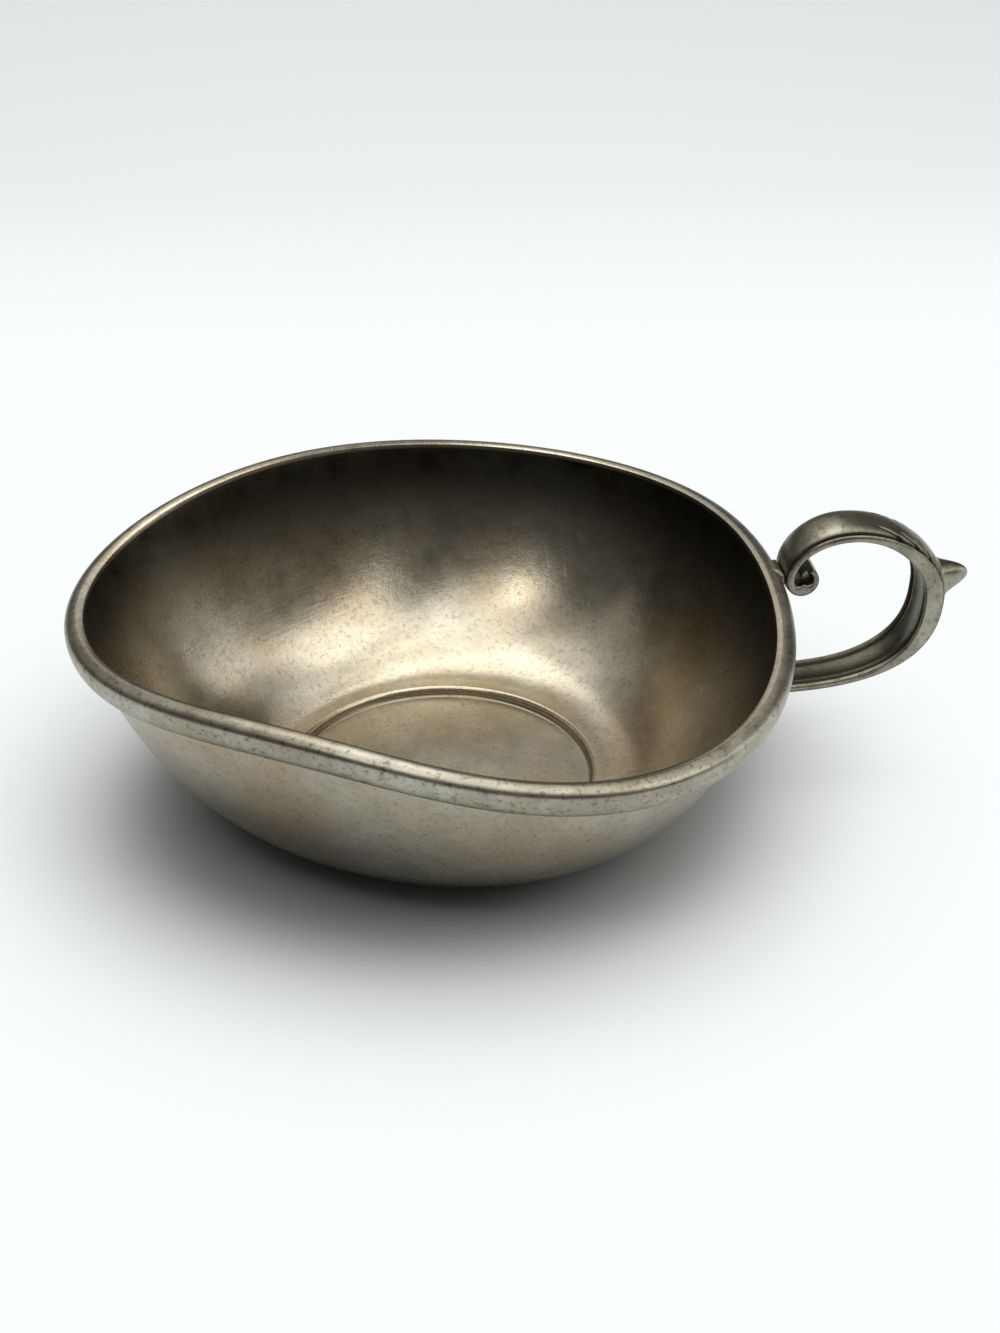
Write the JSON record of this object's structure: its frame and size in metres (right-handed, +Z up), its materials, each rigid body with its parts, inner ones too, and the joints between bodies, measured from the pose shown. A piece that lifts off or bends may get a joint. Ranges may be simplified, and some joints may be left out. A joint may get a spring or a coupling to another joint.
{
  "type": "porringer",
  "caption": "Shallow pewter bowl with a softly bent, banded rim, a flat sunk floor that it stands on, and one scroll handle with a leaf-tip spur for a finger.",
  "frame": {"origin": "centre of the flat foot, on the surface that it stands on", "axes": "+Z up out of the bowl, +X from the bowl's centre towards the handle, the handle lying in the XZ plane"},
  "size_m": [0.1807, 0.1406, 0.054],
  "materials": {
    "bowl": "satin",
    "rim_band": "satin",
    "handle": "satin",
    "solder": "satin"
  },
  "bodies": {
    "root": {"bowl": "bowl", "rim_band": "rim_band", "handle": "handle", "upper_solder": "solder", "lower_solder": "solder"}
  },
  "joints": []
}
